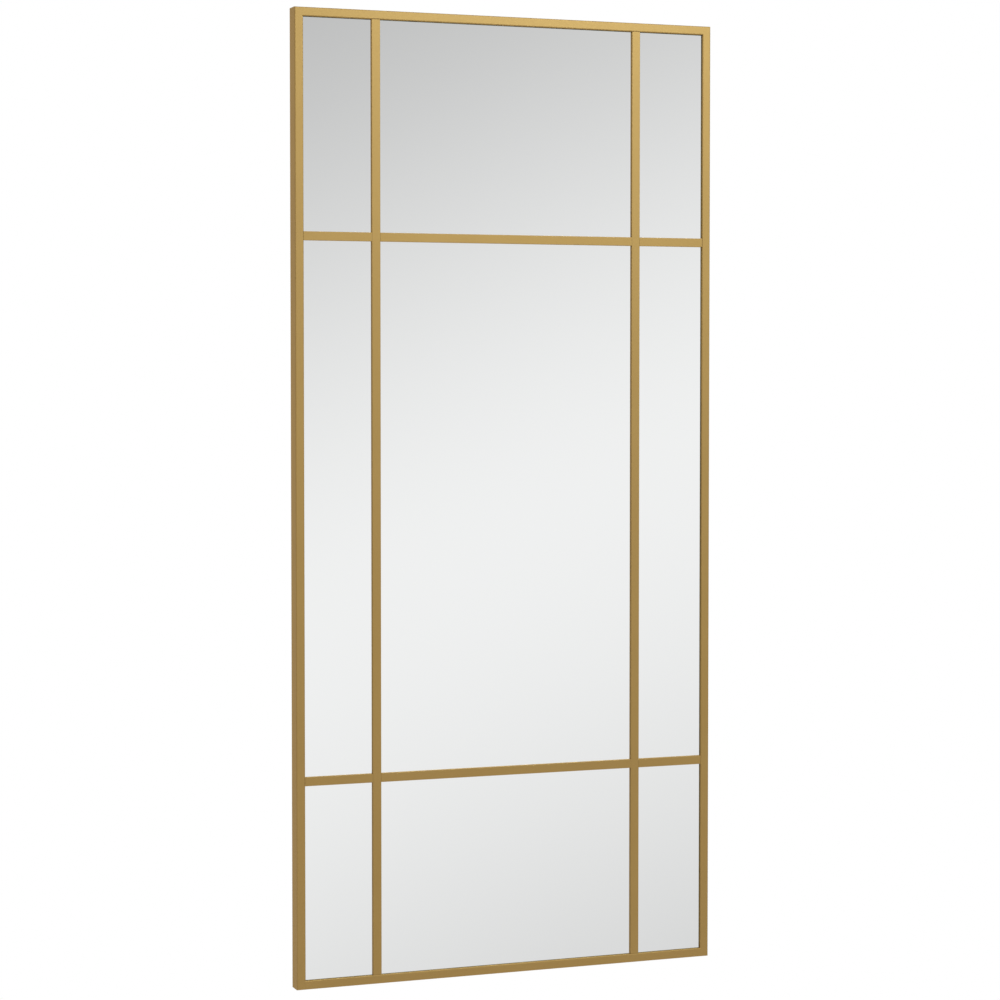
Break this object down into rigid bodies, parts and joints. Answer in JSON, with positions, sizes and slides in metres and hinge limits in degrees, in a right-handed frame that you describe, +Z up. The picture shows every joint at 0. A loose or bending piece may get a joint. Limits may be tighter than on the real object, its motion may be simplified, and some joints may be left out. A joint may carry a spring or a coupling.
{
  "type": "rectangular wall mirror",
  "caption": "Tall rectangular wall mirror in a slim square-edged metal frame, with thin upright and level bars that divide the glass like a window.",
  "frame": {"origin": "midway between the entry holes of the two hanging keyholes, in the plane of the frame's back", "axes": "+Z up the mirror, +X to the right seen from the front, the glass faces -Y and +Y points into the wall"},
  "size_m": [0.508, 0.022, 1.1],
  "materials": {
    "frame_paint": "satin gold powder coat",
    "mirror": "silvered float glass, polished",
    "tape": "white closed-cell foam",
    "board": "bare brown hardboard, smooth face out",
    "zinc": "bright zinc plate",
    "bumper": "matt black rubber"
  },
  "bodies": {
    "root": {"left_stile": "frame_paint", "right_stile": "frame_paint", "top_rail": "frame_paint", "bottom_rail": "frame_paint", "left_bar": "frame_paint", "right_bar": "frame_paint", "upper_left_bar": "frame_paint", "upper_middle_bar": "frame_paint", "upper_right_bar": "frame_paint", "lower_left_bar": "frame_paint", "lower_middle_bar": "frame_paint", "lower_right_bar": "frame_paint", "mirror_glass": "mirror", "foam_tape": "tape", "backing_board": "board", "board_clips": "zinc", "clip_screws": "zinc", "left_hanger_plate": "frame_paint", "right_hanger_plate": "frame_paint", "wall_bumpers": "bumper"}
  },
  "joints": []
}
